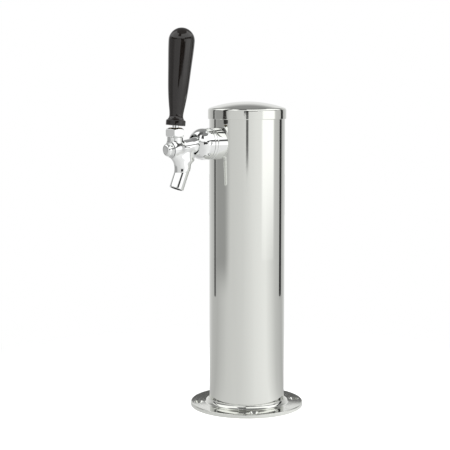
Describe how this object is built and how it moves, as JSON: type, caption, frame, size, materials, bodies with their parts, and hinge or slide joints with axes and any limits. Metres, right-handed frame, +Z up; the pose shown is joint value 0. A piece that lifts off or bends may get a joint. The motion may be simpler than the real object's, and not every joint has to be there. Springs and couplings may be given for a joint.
{
  "type": "beer tower dispenser",
  "caption": "Upright draft beer tower: polished steel column on a bolt-down round flange, domed cap, and a chrome lever tap with a long black handle.",
  "frame": {"origin": "centre of the base flange's underside, on the column's axis", "axes": "+Z up along the column, -Y towards the tap, +X to the tap's left as seen by the user who faces it"},
  "size_m": [0.1142, 0.1557, 0.3814],
  "materials": {
    "polished_steel": "mirror polished stainless steel",
    "chrome": "bright chrome plate",
    "turned_steel": "turned stainless steel",
    "brass": "turned brass",
    "black_handle": "gloss black moulded plastic",
    "black_rubber": "matt",
    "black_nylon": "matt",
    "white_nylon": "satin",
    "clear_line": "translucent tube",
    "grey_foam": "closed-cell foam"
  },
  "bodies": {
    "tower": {"column_tube": "polished_steel", "base_flange": "polished_steel", "base_gasket": "black_rubber", "insulation_sleeve": "grey_foam", "saddle_collar": "chrome", "shank": "chrome", "inner_saddle_washer": "black_nylon", "shank_lock_nut": "chrome", "tail_washer": "black_rubber", "tail_nut": "chrome", "tail_elbow": "turned_steel", "beer_line": "clear_line", "hose_clamp": "turned_steel", "line_connector": "white_nylon", "line_collets": "white_nylon", "line_seals": "black_rubber", "coupling_washer": "black_rubber", "coupling_nut": "chrome", "faucet_body": "chrome", "plug_gasket": "black_rubber", "front_plug": "chrome", "ball_washer": "white_nylon", "friction_washer": "black_nylon", "bonnet_nut": "chrome"},
    "cap": {"tower_cap": "polished_steel", "cap_liner": "white_nylon"},
    "lever": {"lever": "chrome", "tap_handle": "black_handle", "handle_insert": "brass"},
    "valve": {"valve_shaft": "turned_steel", "seat_washer": "black_rubber", "seat_screw": "turned_steel"}
  },
  "joints": [
    {"name": "lever_pull", "type": "hinge", "parent": "tower", "child": "lever", "pos_m": [0, -0.0869, 0.2795], "axis": [1, 0, 0], "range_deg": [0, 27]},
    {"name": "valve_slide", "type": "slide", "parent": "tower", "child": "valve", "axis": [0, 0.9925, 0.1219], "range_m": [0, 0.007]},
    {"name": "cap_lift", "type": "slide", "parent": "tower", "child": "cap", "axis": [0, 0, 1], "range_m": [0, 0.03]}
  ],
  "couplings": [
    {"joint": "valve_slide", "follows": "lever_pull", "m_per_rad": 0.01444}
  ]
}
